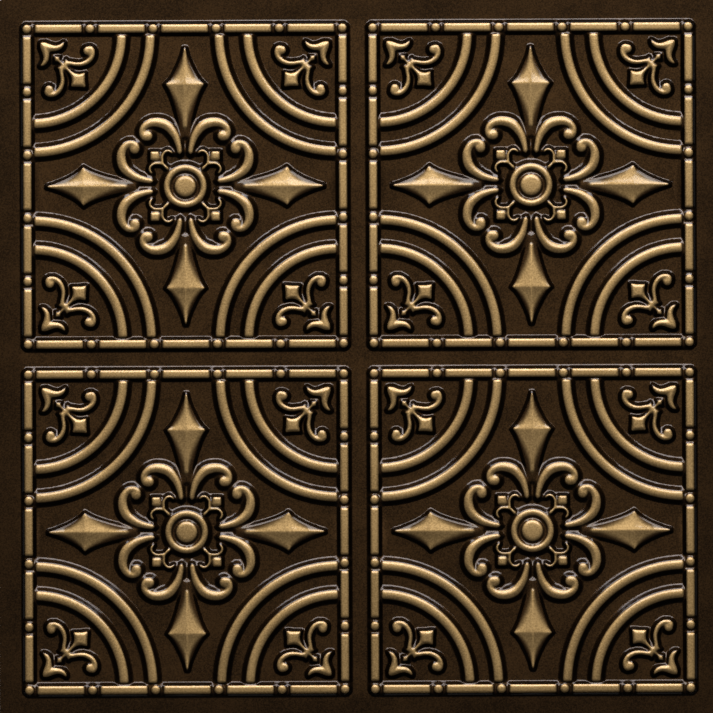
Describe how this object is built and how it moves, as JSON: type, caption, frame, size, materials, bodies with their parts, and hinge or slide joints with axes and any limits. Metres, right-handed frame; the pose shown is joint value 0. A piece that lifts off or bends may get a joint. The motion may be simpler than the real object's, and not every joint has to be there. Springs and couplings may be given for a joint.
{
  "type": "ceiling_tile",
  "caption": "Square glue-up ceiling tile of thin formed plastic, pressed-tin relief in aged brass over a dark bronze ground",
  "frame": {"origin": "middle of the flat back, on the plane that is glued to the ceiling", "axes": "+Z out of the decorated face, +Y towards the top edge in the picture, +X towards the right edge"},
  "size_m": [0.6096, 0.6096, 0.0055],
  "materials": {
    "antique_brass_plastic": "satin painted plastic, dark bronze ground, brass wiped over the raised parts"
  },
  "bodies": {
    "root": {"ceiling_tile": "antique_brass_plastic"}
  },
  "joints": []
}
